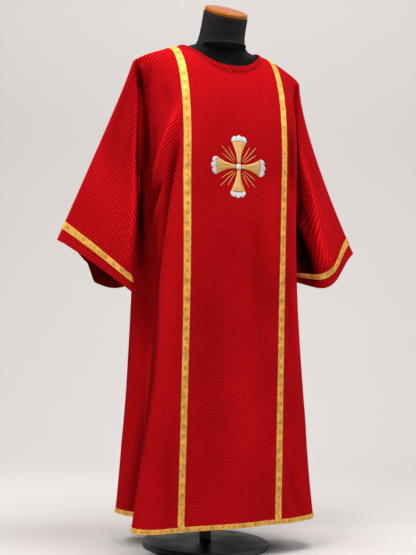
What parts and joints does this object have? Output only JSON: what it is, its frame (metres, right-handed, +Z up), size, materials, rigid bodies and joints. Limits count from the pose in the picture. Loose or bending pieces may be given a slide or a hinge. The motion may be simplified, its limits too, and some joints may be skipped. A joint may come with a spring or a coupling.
{
  "type": "dalmatic on a dress form",
  "caption": "Long dalmatic with wide open sleeves, vertical bands, banded cuffs and hem and a chest cross, on a limbless dress form with a pole and round base.",
  "frame": {"origin": "on the floor under the middle of the stand, which is the middle of the overall box to within 8 mm", "axes": "+Z up, -Y the front of the garment, +X the wearer's left"},
  "size_m": [0.9245, 0.394, 1.4646],
  "materials": {
    "cloth": "red brocade with a diagonal basket weave and a soft sheen",
    "gold": "woven metallic gold galloon and satin-stitched gold thread",
    "silver": "satin-stitched silver thread",
    "form": "matt black jersey cover",
    "wood": "varnished",
    "steel": "black powder coat"
  },
  "bodies": {
    "root": {"front_panel": "cloth", "back_panel_right": "cloth", "back_panel_left": "cloth", "sleeve_right": "cloth", "sleeve_left": "cloth", "neck_binding": "cloth", "clavus_right": "gold", "clavus_left": "gold", "hem_galloon": "gold", "cuff_band_right": "gold", "cuff_band_left": "gold", "cross_arm_up": "gold", "cross_arm_left": "gold", "cross_arm_down": "gold", "cross_arm_right": "gold", "cross_cap_up": "silver", "cross_cap_left": "silver", "cross_cap_down": "silver", "cross_cap_right": "silver", "cross_boss": "silver", "form_torso": "form", "neck_cap": "wood", "stand_pole": "steel", "stand_base": "steel"}
  },
  "joints": []
}
